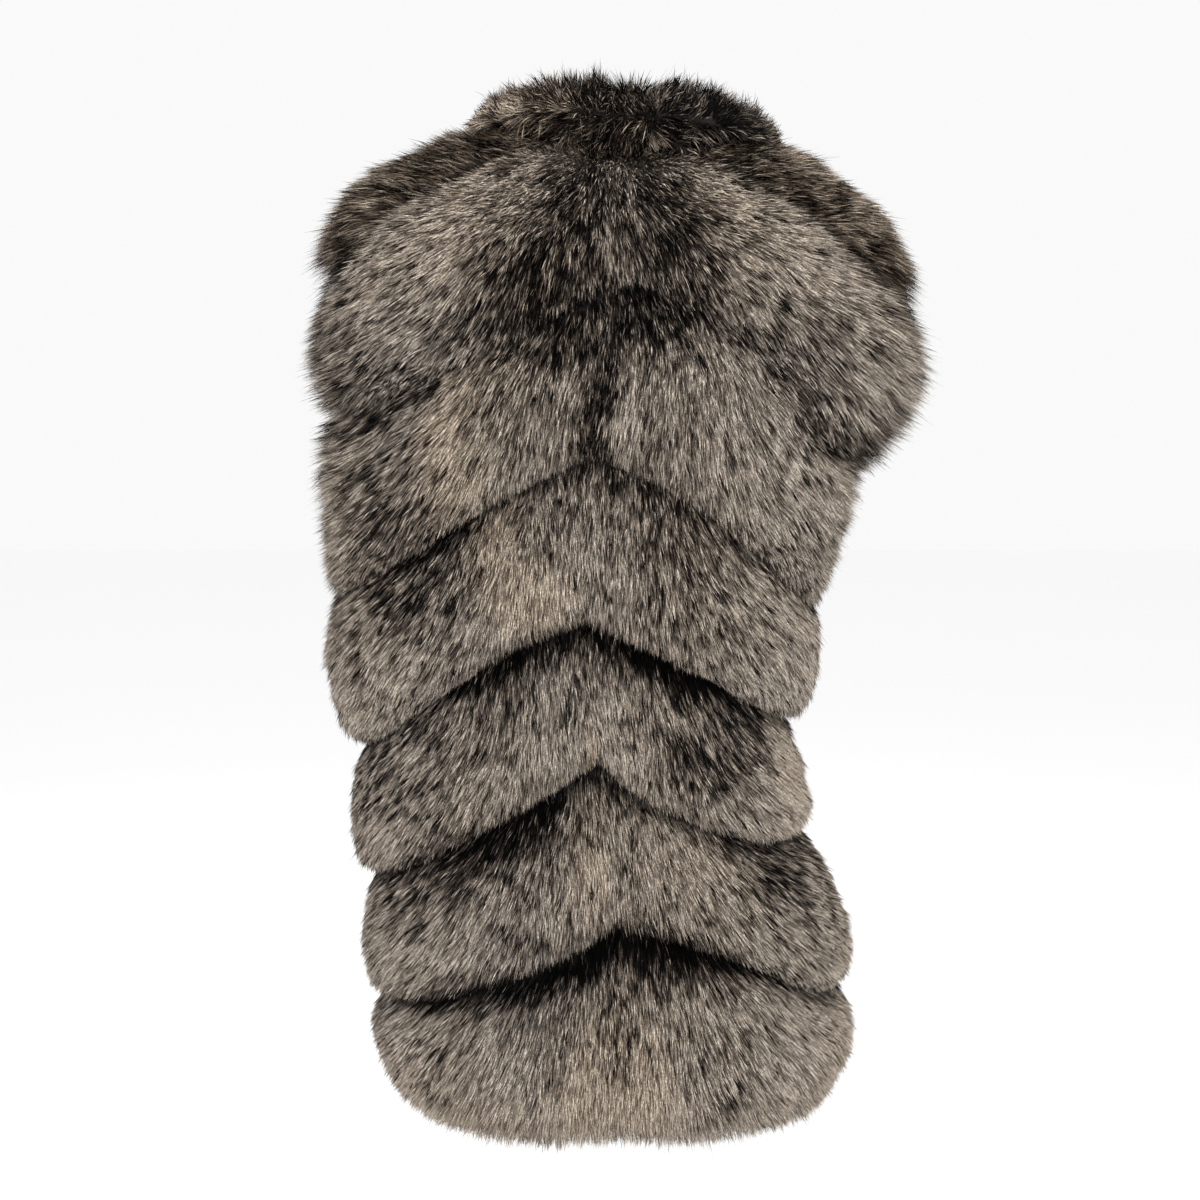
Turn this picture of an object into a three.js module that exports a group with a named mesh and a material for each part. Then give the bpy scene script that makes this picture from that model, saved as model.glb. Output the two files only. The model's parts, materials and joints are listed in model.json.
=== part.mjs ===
// A sleeveless fox fur vest, held open in the round shape that it takes on a wearer.
//
// Units are millimetres and +Z is up. The wearer faces -Y, so the wearer's left is +X.
// The origin is midway between the two shoulders, where the wearer's shoulders carry the vest.
//
// The vest is sewn from fox strips. Six strips on each half of the back meet at the centre back
// in chevrons that point up, and six on each front go on from them at the side seams. A yoke
// piece passes over each shoulder, and a standing collar in two halves follows the neck.
// Each piece is one closed solid: a smooth skin side inside, and the depth of its fur outside.
//
// The skin is one surface, skinPoint(v, t). v counts the rings of the table below from the
// collar's edge down to the hem. t is the angle round the body in degrees: 0 at the centre
// back, 90 at the side seam and 180 at the centre front, positive on the wearer's left.
// furDirection(v, t) leads from the skin out to the tips of the fur. It depends on the place
// alone, so two pieces that share a seam share the wall between them.
import * as THREE from "three";

// Driving sizes.
const furDepth = 47; // at the crown of a strip
const valleyDepth = 25; // at a seam between strips
const neckDepth = 26; // at the seam under the collar
const grooveShare = 0.12; // share of the depth lost where two halves meet at the centre back
const lieOfFur = 0.32; // how far the fur leans down as it rises
const collarLift = 1; // how far the collar's fur leans up
const hemFur = 44; // fur past the cut edge at the hem
const collarFur = 38; // fur past the collar's edge
const frontFur = 18; // fur past each front edge
const armholeFur = 68; // fur past the armhole's edge at its widest
const seamGap = 0.3;

// Rings of the skin, from the collar's edge to the hem.
// halfWidth, back and front are measured from the ring's own centre, and zBack, zSide and
// zFront are its heights. power under 1 makes the ring squarer. sway moves the whole ring to
// the wearer's left, and seam the centre back alone. tilt raises the left side and lowers the
// right. open is the angle from the centre front to each front edge.
const rings = [
  { name: "collarEdge", halfWidth: 97, back: 86, front: 84, zBack: 68, zSide: 56, zFront: -13, power: 1, sway: -19, seam: 0, tilt: 4, open: 25 },
  { name: "collarMiddle", halfWidth: 95, back: 80, front: 82, zBack: 50, zSide: 40, zFront: -34, power: 1, sway: -18, seam: 2, tilt: 3, open: 21 },
  { name: "neckSeam", halfWidth: 93, back: 78, front: 84, zBack: 30, zSide: 24, zFront: -54, power: 1, sway: -15, seam: 4, tilt: 3, open: 15 },
  { name: "midShoulder", halfWidth: 145, back: 94, front: 102, zBack: 6, zSide: 3, zFront: -80, power: 0.95, sway: -14, seam: 8, tilt: 5, open: 9 },
  { name: "shoulderTip", halfWidth: 199, back: 110, front: 118, zBack: -36, zSide: -38, zFront: -110, power: 0.86, sway: -14, seam: 11, tilt: 9, open: 6.5 },
  { name: "blade", halfWidth: 212, back: 120, front: 130, zBack: -108, zSide: -112, zFront: -150, power: 0.8, sway: -18, seam: 12, tilt: 11, open: 5.5 },
  { name: "chest", halfWidth: 202, back: 122, front: 140, zBack: -190, zSide: -192, zFront: -210, power: 0.8, sway: 0, seam: 6, tilt: 6, open: 5 },
  { name: "underarm", halfWidth: 193, back: 118, front: 138, zBack: -272, zSide: -274, zFront: -280, power: 0.82, sway: 15, seam: -4, tilt: 0, open: 5 },
  { name: "midriff", halfWidth: 187, back: 110, front: 128, zBack: -354, zSide: -356, zFront: -356, power: 0.85, sway: 23, seam: -16, tilt: 0, open: 5 },
  { name: "waist", halfWidth: 172, back: 105, front: 117, zBack: -436, zSide: -437, zFront: -436, power: 0.87, sway: 26, seam: -25, tilt: 0, open: 5 },
  { name: "highHip", halfWidth: 169, back: 112, front: 117, zBack: -516, zSide: -517, zFront: -516, power: 0.87, sway: 20, seam: -25, tilt: 0, open: 5 },
  { name: "hip", halfWidth: 178, back: 124, front: 121, zBack: -596, zSide: -597, zFront: -596, power: 0.87, sway: 4, seam: -15, tilt: 0, open: 5 },
  { name: "seat", halfWidth: 185, back: 132, front: 124, zBack: -676, zSide: -676, zFront: -676, power: 0.87, sway: -8, seam: -4, tilt: 0, open: 5 },
  { name: "hem", halfWidth: 185, back: 134, front: 124, zBack: -753, zSide: -754, zFront: -754, power: 0.87, sway: -13, seam: 0, tilt: 0, open: 5 },
];
const neckV = rings.findIndex((ring) => ring.name === "neckSeam");
const hemV = rings.length - 1;

// The armhole is an oval round the side of the body, in v and t.
const armhole = { middleV: 5.6, halfV: 1.6, halfAngle: 24 };

// Seams between strips. apex is the height at the centre back, and the drops are how much
// lower the seam meets each side. A bend under 1 falls steeply first, over 1 steeply at the
// side. rise is how far the seam climbs again to the centre front.
const seams = [
  { apex: -64, dropLeft: 107, bendLeft: 0.65, dropRight: 170, bendRight: 1.7, rise: 22 },
  { apex: -201, dropLeft: 122, bendLeft: 1, dropRight: 131, bendRight: 1.2, rise: 45 },
  { apex: -331, dropLeft: 130, bendLeft: 1.25, dropRight: 103, bendRight: 0.85, rise: 50 },
  { apex: -455, dropLeft: 124, bendLeft: 1, dropRight: 96, bendRight: 0.6, rise: 50 },
  { apex: -593, dropLeft: 98, bendLeft: 0.75, dropRight: 103, bendRight: 1.6, rise: 45 },
];

// Samples along a strip, from the centre to the side, and across it, from seam to seam.
const along = [0, 0.08, 0.17, 0.26, 0.36, 0.46, 0.56, 0.66, 0.76, 0.85, 0.93, 1];
const across = [0, 0.06, 0.16, 0.3, 0.46, 0.62, 0.76, 0.87, 0.95, 1];
const collarRows = [0, 0.1, 0.26, 0.44, 0.62, 0.8, 1];
const crownAt = 0.62; // where a strip stands highest, from its upper seam
const yokeSample = 4; // the sample along the first strip where the yoke's seam leaves the neck
const underarmSample = 6; // the row of the second strip that ends at the foot of the armhole
const yokeMeets = { left: -62, right: -84, frontLeft: -78, frontRight: -96 }; // heights at the armhole

const { degToRad, clamp, lerp, smoothstep } = THREE.MathUtils;
const signedPower = (value, power) => Math.sign(value) * Math.abs(value) ** power;

// A column of the table at any v, on a smooth curve through the rings.
function ringValue(key, v) {
  const i = clamp(Math.floor(v), 0, rings.length - 2);
  const f = v - i;
  const at = (k) => rings[clamp(k, 0, rings.length - 1)][key];
  const [a, b, c, d] = [at(i - 1), at(i), at(i + 1), at(i + 2)];
  return b + 0.5 * f * (c - a + f * (2 * a - 5 * b + 4 * c - d + f * (3 * (b - c) + d - a)));
}

function skinPoint(v, t) {
  const s = Math.sin(degToRad(t));
  const c = Math.cos(degToRad(t));
  const power = ringValue("power", v);
  const depth = ringValue(c >= 0 ? "back" : "front", v);
  const zEnd = ringValue(c >= 0 ? "zBack" : "zFront", v);
  const across = signedPower(s, power);
  return new THREE.Vector3(
    ringValue("halfWidth", v) * across + ringValue("sway", v) + ringValue("seam", v) * Math.max(0, c) ** 2,
    depth * signedPower(c, power),
    lerp(ringValue("zSide", v), zEnd, c * c) + ringValue("tilt", v) * across,
  );
}

// The v at which the skin at angle t has height z.
function heightToV(z, t) {
  let low = neckV;
  let high = hemV;
  for (let i = 0; i < 30; i++) {
    const middle = (low + high) / 2;
    if (skinPoint(middle, t).z > z) low = middle;
    else high = middle;
  }
  return (low + high) / 2;
}

// 1 on the armhole's edge, less inside the hole and more outside it.
function armholeReach(v, t) {
  return Math.hypot((Math.abs(t) - 90) / armhole.halfAngle, (v - armhole.middleV) / armhole.halfV);
}

// The angle at which the armhole's edge cuts a curve v(t) that leaves from a centre line, or 90.
function endOfCurve(curve, start, side) {
  const step = start < 90 ? 1 : -1;
  let out = start;
  let into = 90;
  for (let a = start; (90 - a) * step > 0; a += step) {
    if (armholeReach(curve(side * a), a) < 1) {
      into = a;
      break;
    }
    out = a;
  }
  if (into === 90) return 90;
  for (let i = 0; i < 30; i++) {
    const middle = (out + into) / 2;
    if (armholeReach(curve(side * middle), middle) < 1) into = middle;
    else out = middle;
  }
  return out;
}

function frontEdge(v) {
  return 180 - ringValue("open", v);
}

// The yoke's two seams. Each leaves the neck at one angle and meets the armhole at another,
// and is straight in v and t between them.
function yokeSeam(side, start, height) {
  const meets = endOfCurve((t) => heightToV(height, t), start, side);
  const leaves = lerp(start, meets, along[yokeSample]);
  return { leaves, meets, meetV: heightToV(height, side * meets) };
}
const yokeSeams = {
  left: { back: yokeSeam(1, 0, yokeMeets.left), front: yokeSeam(1, frontEdge(neckV), yokeMeets.frontLeft) },
  right: { back: yokeSeam(-1, 0, yokeMeets.right), front: yokeSeam(-1, frontEdge(neckV), yokeMeets.frontRight) },
};

// The seam above strip k at angle t, as a v. Seam 0 is the neck and then the yoke's edge.
function seamV(k, t) {
  const hand = t >= 0 ? "left" : "right";
  const a = Math.abs(t);
  if (k > seams.length) return hemV;
  if (k === 0) {
    const { leaves, meets, meetV } = yokeSeams[hand][a < 90 ? "back" : "front"];
    const share = (a - leaves) / (meets - leaves);
    return share <= 0 ? neckV : lerp(neckV, meetV, share);
  }
  const { apex, dropLeft, bendLeft, dropRight, bendRight, rise } = seams[k - 1];
  const [drop, bend] = hand === "left" ? [dropLeft, bendLeft] : [dropRight, bendRight];
  if (a <= 90) return heightToV(apex - drop * Math.sin(degToRad(a)) ** bend, t);
  return heightToV(apex - drop + rise * (1 - Math.sin(degToRad(a))), t);
}

// How strongly each open edge bends the fur that stands beside it, from 0 to 1.
function edgePulls(v, t) {
  const frontAngle = frontEdge(v);
  return {
    arm: v > 2.6 && v < 8.4 ? 1 - smoothstep(armholeReach(v, t), 1, 1.75) : 0,
    hem: smoothstep(v, hemV - 0.7, hemV),
    collar: 1 - smoothstep(v, 0, 1.2),
    front: smoothstep(Math.abs(t), frontAngle - 17, frontAngle),
  };
}

// The way from the skin to the tips of the fur.
function furDirection(v, t) {
  const wide = lerp(0.7, 0.15, smoothstep(v, 3, 4.6)); // a long step opens the fur out of the angle at the neck
  const downV = skinPoint(Math.min(v + wide, hemV), t).sub(skinPoint(Math.max(v - wide, 0), t)).normalize();
  const roundT = skinPoint(v, t + 2).sub(skinPoint(v, t - 2)).normalize();
  const normal = roundT.clone().cross(downV).normalize();
  const pulls = edgePulls(v, t);

  const most = Math.max(pulls.arm, pulls.hem * 0.75, pulls.collar * 0.6, pulls.front * 0.75);
  const lean = lieOfFur * smoothstep(v, neckV + 0.5, 4.2) - collarLift * (1 - smoothstep(v, 1.2, 2.6));
  return normal
    .multiplyScalar(1 - 0.85 * most)
    .addScaledVector(downV, lean * (1 - most) + 0.95 * pulls.hem - 0.8 * pulls.collar)
    .add(new THREE.Vector3(Math.sign(t) * 0.95 * pulls.arm, 0, -0.12 * pulls.arm))
    .addScaledVector(roundT, Math.sign(t) * 0.8 * pulls.front)
    .normalize();
}

// The depth of the fur. fullness is 0 at a seam and 1 at the crown of a piece.
function depthOfFur(v, t, fullness) {
  const pulls = edgePulls(v, t);
  const seamDepth = lerp(neckDepth, valleyDepth, smoothstep(v, neckV, neckV + 1.5));
  const groove = 1 - grooveShare * Math.exp(-((Math.abs(t) / 9) ** 2));
  const armFur = armholeFur * (1 - 0.42 * smoothstep(v, 5.6, 7.2));
  const atEdge =
    1 + pulls.arm * (armFur / furDepth - 1) + pulls.hem * (hemFur / furDepth - 1) +
    pulls.collar * (collarFur / furDepth - 1) + pulls.front * (frontFur / furDepth - 1);
  return lerp(seamDepth, furDepth, fullness) * groove * clamp(atEdge, 0.35, 1.4);
}

const rise = (share) => Math.sin((Math.PI / 2) * clamp(share, 0, 1)) ** 0.75;
const stripFullness = (s) => (s < crownAt ? rise(s / crownAt) : rise((1 - s) / (1 - crownAt)));
const hemFullness = (s) => rise(s / 0.5);
const collarFullness = (s) => rise((1 - s) / 0.35);
const yokeFullness = (s, r) => 1.1 * rise(s / 0.45) * rise((1 - s) / 0.45) * rise(r / 0.4);

// A grid of places on the skin becomes a closed body. grid[j][i] holds { v, t, fullness }.
function bodyFromGrid(name, grid, color) {
  const rows = grid.length;
  const columns = grid[0].length;
  const skin = grid.map((row) => row.map(({ v, t }) => skinPoint(v, t)));
  const tips = grid.map((row, j) =>
    row.map(({ v, t, fullness }, i) =>
      skin[j][i].clone().addScaledVector(furDirection(v, t), depthOfFur(v, t, fullness))));
  for (const layer of [skin, tips]) drawInEdges(layer);

  const index = (layer, j, i) => (layer * rows + j) * columns + i;
  const points = [...skin.flat(), ...tips.flat()];
  const faces = [];
  const quad = (a, b, c, d) => faces.push(a, b, c, a, c, d);
  for (let j = 0; j + 1 < rows; j++) {
    for (let i = 0; i + 1 < columns; i++) {
      quad(index(0, j, i), index(0, j + 1, i), index(0, j + 1, i + 1), index(0, j, i + 1));
      quad(index(1, j, i), index(1, j, i + 1), index(1, j + 1, i + 1), index(1, j + 1, i));
    }
  }

  // The walls run once round the grid. The key makes both neighbours split a wall one way.
  const key = ([j, i]) => Math.abs(grid[j][i].t) + 3 * grid[j][i].v;
  const edge = [];
  for (let i = 0; i < columns - 1; i++) edge.push([0, i]);
  for (let j = 0; j < rows - 1; j++) edge.push([j, columns - 1]);
  for (let i = columns - 1; i > 0; i--) edge.push([rows - 1, i]);
  for (let j = rows - 1; j > 0; j--) edge.push([j, 0]);
  edge.forEach((here, n) => {
    const next = edge[(n + 1) % edge.length];
    const [a, b, c, d] = [index(0, ...here), index(0, ...next), index(1, ...next), index(1, ...here)];
    if (key(here) < key(next)) faces.push(a, b, c, a, c, d);
    else faces.push(b, c, d, b, d, a);
  });

  let volume = 0;
  for (let f = 0; f < faces.length; f += 3) {
    const [a, b, c] = [points[faces[f]], points[faces[f + 1]], points[faces[f + 2]]];
    volume += a.dot(b.clone().cross(c));
  }
  if (volume < 0) faces.reverse();

  const geometry = new THREE.BufferGeometry();
  geometry.setAttribute("position", new THREE.Float32BufferAttribute(points.flatMap((p) => p.toArray()), 3));
  geometry.setIndex(faces);
  geometry.computeVertexNormals();
  const mesh = new THREE.Mesh(geometry, new THREE.MeshStandardMaterial({ color, roughness: 0.95 }));
  mesh.name = name;
  return mesh;
}

// Moves the outer rows and columns of a layer inward by half the gap at a seam.
function drawInEdges(layer) {
  const rows = layer.length;
  const columns = layer[0].length;
  const moves = [];
  const plan = (j, i, inJ, inI, alongJ, alongI) => {
    const point = layer[j][i];
    const way = layer[j + inJ][i + inI].clone().sub(point);
    const before = layer[clamp(j - alongJ, 0, rows - 1)][clamp(i - alongI, 0, columns - 1)];
    const after = layer[clamp(j + alongJ, 0, rows - 1)][clamp(i + alongI, 0, columns - 1)];
    const tangent = after.clone().sub(before).normalize();
    way.addScaledVector(tangent, -way.dot(tangent)).normalize();
    moves.push([point, way.multiplyScalar(seamGap / 2)]);
  };
  for (let i = 0; i < columns; i++) {
    plan(0, i, 1, 0, 0, 1);
    plan(rows - 1, i, -1, 0, 0, 1);
  }
  for (let j = 0; j < rows; j++) {
    plan(j, 0, 0, 1, 1, 0);
    plan(j, columns - 1, 0, -1, 1, 0);
  }
  for (const [point, move] of moves) point.add(move);
}

// A patch of v and t inside four edge curves: top(r) and foot(r) run outward from a centre
// line, and inner(s) and outer(s) run down from the upper seam to the lower one.
function patch(top, foot, inner, outer, rows, columns, fullness) {
  return rows.map((s) => columns.map((r) => {
    const blend = (key) =>
      lerp(top(r)[key], foot(r)[key], s) + lerp(inner(s)[key], outer(s)[key], r) -
      lerp(lerp(top(0)[key], top(1)[key], r), lerp(foot(0)[key], foot(1)[key], r), s);
    return { v: blend("v"), t: blend("t"), fullness: fullness(s, r) };
  }));
}

// Where an angle round the oval lies: 0 is its top, and 90 is its foot on the back's side.
const ovalPlace = (side, front, angle) => ({
  t: side * (90 + (front ? 1 : -1) * armhole.halfAngle * Math.sin(angle)),
  v: armhole.middleV - armhole.halfV * Math.cos(angle),
});
const ovalAngle = ({ v, t }) =>
  Math.atan2(Math.abs(Math.abs(t) - 90) / armhole.halfAngle, (armhole.middleV - v) / armhole.halfV);

// Strip k of a back or a front.
function stripGrid(side, k, front) {
  const seamCurve = (n) => {
    const curve = (t) => seamV(n, t);
    let start = 0;
    if (front) {
      start = 173;
      for (let i = 0; i < 6; i++) start = frontEdge(curve(side * start));
    }
    const end = endOfCurve(curve, start, side);
    return (r) => {
      const t = side * Math.max(1e-6, lerp(start, end, r));
      return { v: curve(t), t };
    };
  };
  const top = seamCurve(k);
  const foot = seamCurve(k + 1);
  const inner = (s) => {
    const v = lerp(top(0).v, foot(0).v, s);
    return { v, t: front ? side * frontEdge(v) : side * 1e-6 };
  };
  const straight = (s) => ({ v: lerp(top(1).v, foot(1).v, s), t: side * 90 });
  const round = (s) => ovalPlace(side, front, lerp(ovalAngle(top(1)), ovalAngle(foot(1)), s));
  const bend = across[underarmSample];
  const underarm = ovalPlace(side, front, Math.PI);
  const turning = (s) =>
    s <= bend
      ? ovalPlace(side, front, lerp(ovalAngle(top(1)), Math.PI, s / bend))
      : { v: lerp(underarm.v, foot(1).v, (s - bend) / (1 - bend)), t: side * 90 };
  const atSide = (place) => Math.abs(Math.abs(place.t) - 90) < 0.01;
  const outer = atSide(top(1)) ? straight : atSide(foot(1)) ? turning : round;
  const fullness = k === seams.length ? hemFullness : stripFullness;
  return patch(top, foot, inner, outer, across, along, fullness);
}

// A yoke piece, from its back seam over the shoulder to its front seam.
function yokeGrid(side, hand) {
  const { back, front } = yokeSeams[hand];
  const [backAngle, frontAngle] = [back, front].map(({ meets, meetV }) => ovalAngle({ v: meetV, t: meets }));
  const steps = along.slice(yokeSample).map((r) => (r - along[yokeSample]) / (1 - along[yokeSample]));
  return across.map((s) => {
    const neckT = lerp(back.leaves, front.leaves, s);
    const end = ovalPlace(side, true, lerp(-backAngle, frontAngle, s));
    return steps.map((r) => ({ v: lerp(neckV, end.v, r), t: lerp(side * neckT, end.t, r), fullness: yokeFullness(s, r) }));
  });
}

// Half of the collar, whose columns end at the same places as the pieces under it.
function collarGrid(side, hand) {
  const { back, front } = yokeSeams[hand];
  const toYoke = along.slice(0, yokeSample + 1);
  const neckEdge = frontEdge(neckV);
  const angles = [
    ...toYoke.map((r) => Math.max(1e-6, r * back.meets)),
    ...across.slice(1, -1).map((s) => lerp(back.leaves, front.leaves, s)),
    ...toYoke.map((r) => lerp(neckEdge, front.meets, r)).reverse(),
  ];
  return collarRows.map((s) => {
    const v = neckV * s;
    return angles.map((t) => ({ v, t: side * t * frontEdge(v) / neckEdge, fullness: collarFullness(s) }));
  });
}

const group = new THREE.Group();
group.name = "fox_fur_vest";
for (const [hand, side] of [["left", 1], ["right", -1]]) {
  for (let k = 0; k <= seams.length; k++) {
    group.add(bodyFromGrid(`back_strip_${k + 1}_${hand}`, stripGrid(side, k, false), 0x6f675e));
    group.add(bodyFromGrid(`front_strip_${k + 1}_${hand}`, stripGrid(side, k, true), 0x6f675e));
  }
  group.add(bodyFromGrid(`yoke_${hand}`, yokeGrid(side, hand), 0x4a3f36));
  group.add(bodyFromGrid(`collar_${hand}`, collarGrid(side, hand), 0x453b34));
}
export default group;
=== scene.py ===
import bpy
import json
import math
import numpy as np
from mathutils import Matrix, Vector

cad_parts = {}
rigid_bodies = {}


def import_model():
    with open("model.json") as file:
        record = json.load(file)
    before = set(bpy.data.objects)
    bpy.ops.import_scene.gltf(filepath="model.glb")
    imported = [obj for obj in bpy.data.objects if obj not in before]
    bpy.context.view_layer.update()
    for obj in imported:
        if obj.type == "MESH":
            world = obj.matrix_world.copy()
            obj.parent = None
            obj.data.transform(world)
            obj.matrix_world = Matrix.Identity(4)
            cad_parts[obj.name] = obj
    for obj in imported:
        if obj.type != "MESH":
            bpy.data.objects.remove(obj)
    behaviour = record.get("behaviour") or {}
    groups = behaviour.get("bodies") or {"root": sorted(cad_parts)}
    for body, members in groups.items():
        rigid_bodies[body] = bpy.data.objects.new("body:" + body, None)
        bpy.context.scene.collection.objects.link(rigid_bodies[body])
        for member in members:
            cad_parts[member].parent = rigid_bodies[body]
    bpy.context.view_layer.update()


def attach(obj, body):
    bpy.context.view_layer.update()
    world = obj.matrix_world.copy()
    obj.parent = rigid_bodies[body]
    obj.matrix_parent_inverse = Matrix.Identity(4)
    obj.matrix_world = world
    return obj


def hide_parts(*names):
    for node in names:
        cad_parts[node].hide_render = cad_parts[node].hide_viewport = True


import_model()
print("frame loaded")

scene = bpy.context.scene
scene.view_settings.view_transform = "Standard"

# Camera, lights and floor.

studio = dict(
    cameraPlace=(0.0, 1.335, -0.129), cameraTilt=9.0, lens=45.0,
    lightsAimAt=(0, 0, -0.35), keyPower=26.0, fillPower=9.0, topPower=14.0, world=0.95,
    floorHeight=-1.42, floorHalf=9.0, backdrop=0.98,
)


def makeStudio():
    camera = bpy.data.objects.new("studioCamera", bpy.data.cameras.new("studioCamera"))
    camera.data.lens = studio["lens"]
    camera.data.sensor_width = 36
    camera.data.clip_end = 60
    camera.location = studio["cameraPlace"]
    camera.rotation_euler = (math.radians(90 - studio["cameraTilt"]), 0, math.radians(180))
    scene.collection.objects.link(camera)
    scene.camera = camera

    lights = [
        ("keyLight", (0.9, 2.3, 1.1), 1.6, studio["keyPower"]),
        ("fillLight", (-1.9, 1.7, 0.3), 1.8, studio["fillPower"]),
        ("topLight", (0.0, 0.3, 2.1), 2.0, studio["topPower"]),
        ("frontLight", (0.6, -2.4, 0.9), 1.8, studio["fillPower"]),
    ]
    for name, place, size, power in lights:
        lamp = bpy.data.lights.new(name, "AREA")
        lamp.shape, lamp.size, lamp.energy = "DISK", size, power
        light = bpy.data.objects.new(name, lamp)
        light.location = place
        aim = Vector(studio["lightsAimAt"]) - Vector(place)
        light.rotation_euler = aim.to_track_quat("-Z", "Y").to_euler()
        scene.collection.objects.link(light)

    world = bpy.data.worlds.new("studioWorld")
    world.use_nodes = True
    world.node_tree.nodes["Background"].inputs["Color"].default_value = (1, 1, 1, 1)
    world.node_tree.nodes["Background"].inputs["Strength"].default_value = studio["world"]
    scene.world = world

    half, z = studio["floorHalf"], studio["floorHeight"]
    corners = [(-half, -half, z), (half, -half, z), (half, half, z), (-half, half, z)]
    mesh = bpy.data.meshes.new("studioFloor")
    mesh.from_pydata(corners, [], [(0, 1, 2, 3)])
    floor = bpy.data.objects.new("studioFloor", mesh)
    scene.collection.objects.link(floor)
    paint = bpy.data.materials.new("studioFloorPaint")
    paint.use_nodes = True
    shader = paint.node_tree.nodes["Principled BSDF"]
    shader.inputs["Base Color"].default_value = (studio["backdrop"],) * 3 + (1,)
    shader.inputs["Roughness"].default_value = 0.9
    mesh.materials.append(paint)


makeStudio()
print("studio made")

# The skin is one surface over v and t. v counts these rings from the collar's edge to the hem, and t is
# the angle round the body: 0 centre back, 90 side seam, 180 centre front, positive on the wearer's left.
# Millimetres and degrees, the same sizes as the solids have.
ringColumns = ("halfWidth", "back", "front", "zBack", "zSide", "zFront",
               "power", "sway", "seam", "tilt", "open")
rings = {
    "collarEdge": (97, 86, 84, 68, 56, -13, 1, -19, 0, 4, 25),
    "collarMiddle": (95, 80, 82, 50, 40, -34, 1, -18, 2, 3, 21),
    "neckSeam": (93, 78, 84, 30, 24, -54, 1, -15, 4, 3, 15),
    "midShoulder": (145, 94, 102, 6, 3, -80, 0.95, -14, 8, 5, 9),
    "shoulderTip": (199, 110, 118, -36, -38, -110, 0.86, -14, 11, 9, 6.5),
    "blade": (212, 120, 130, -108, -112, -150, 0.8, -18, 12, 11, 5.5),
    "chest": (202, 122, 140, -190, -192, -210, 0.8, 0, 6, 6, 5),
    "underarm": (193, 118, 138, -272, -274, -280, 0.82, 15, -4, 0, 5),
    "midriff": (187, 110, 128, -354, -356, -356, 0.85, 23, -16, 0, 5),
    "waist": (172, 105, 117, -436, -437, -436, 0.87, 26, -25, 0, 5),
    "highHip": (169, 112, 117, -516, -517, -516, 0.87, 20, -25, 0, 5),
    "hip": (178, 124, 121, -596, -597, -596, 0.87, 4, -15, 0, 5),
    "seat": (185, 132, 124, -676, -676, -676, 0.87, -8, -4, 0, 5),
    "hem": (185, 134, 124, -753, -754, -754, 0.87, -13, 0, 0, 5),
}
columns = {name: np.array([row[i] for row in rings.values()], float)
           for i, name in enumerate(ringColumns)}
neckV, hemV = 2, len(rings) - 1
armhole = dict(middleV=5.6, halfV=1.6, halfAngle=24)

# The seams below the first strips: height at the centre back, drop to the side and bend on each half, and
# how much less they fall on the front.
seams = [
    dict(apex=-64, dropLeft=107, bendLeft=0.65, dropRight=170, bendRight=1.7, rise=22),
    dict(apex=-201, dropLeft=122, bendLeft=1, dropRight=131, bendRight=1.2, rise=45),
    dict(apex=-331, dropLeft=130, bendLeft=1.25, dropRight=103, bendRight=0.85, rise=50),
    dict(apex=-455, dropLeft=124, bendLeft=1, dropRight=96, bendRight=0.6, rise=50),
    dict(apex=-593, dropLeft=98, bendLeft=0.75, dropRight=103, bendRight=1.6, rise=45),
]
yokeShare = 0.36  # where along the first strip the yoke's seam leaves the neck
underarmShare = 0.76  # the share of the second strip's end that follows the armhole
yokeMeets = {(1, False): -62, (-1, False): -84, (1, True): -78, (-1, True): -96}  # heights at the armholes

# Depths of the fur in millimetres, at the crowns, in the valleys and at the open edges. lie and collarLift
# are how much the fur leans down the body and up the collar.
coat = dict(
    furDepth=47, valleyDepth=25, neckDepth=26, groove=0.12, grooveWidth=9, lie=0.32, collarLift=1.0,
    hemFur=44, collarFur=38, frontFur=18, armholeFur=68, underarmFur=0.42, crownAt=0.62,
)
# How far each open edge pulls on the fur near it, in v, in degrees, or in sizes of the armhole.
pullReach = dict(armTop=2.6, armFoot=8.4, armSizes=1.75, hem=0.7, collar=1.2, front=17)
# How much the fur leans off each open edge.
edgeLean = dict(arm=0.95, armDrop=0.12, hem=0.95, collar=0.8, front=0.8)


def smooth(x, low, high):
    x = np.clip((x - low) / (high - low), 0, 1)
    return x * x * (3 - 2 * x)


def mix(a, b, share):
    return a + (b - a) * share


def unit(a):
    return a / np.maximum(np.linalg.norm(a, axis=-1, keepdims=True), 1e-9)


def ringValue(key, v):
    column, last = columns[key], len(rings) - 1
    v = np.asarray(v, float)
    i = np.clip(np.floor(v).astype(int), 0, last - 1)
    f = v - i
    a, b, c, d = (column[np.clip(i + k, 0, last)] for k in (-1, 0, 1, 2))
    return b + 0.5 * f * (c - a + f * (2 * a - 5 * b + 4 * c - d + f * (3 * (b - c) + d - a)))


def skinPoint(v, t):
    v, t = np.broadcast_arrays(np.asarray(v, float), np.asarray(t, float))
    s, c = np.sin(np.radians(t)), np.cos(np.radians(t))
    power = ringValue("power", v)
    across = np.sign(s) * np.abs(s) ** power
    depth = np.where(c >= 0, ringValue("back", v), ringValue("front", v))
    zEnd = np.where(c >= 0, ringValue("zBack", v), ringValue("zFront", v))
    x = ringValue("halfWidth", v) * across + ringValue("sway", v)
    x = x + ringValue("seam", v) * np.maximum(0, c) ** 2
    y = depth * np.sign(c) * np.abs(c) ** power
    z = mix(ringValue("zSide", v), zEnd, c * c) + ringValue("tilt", v) * across
    return np.stack([x, y, z], -1)


halvings = 24  # steps of every search


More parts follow.
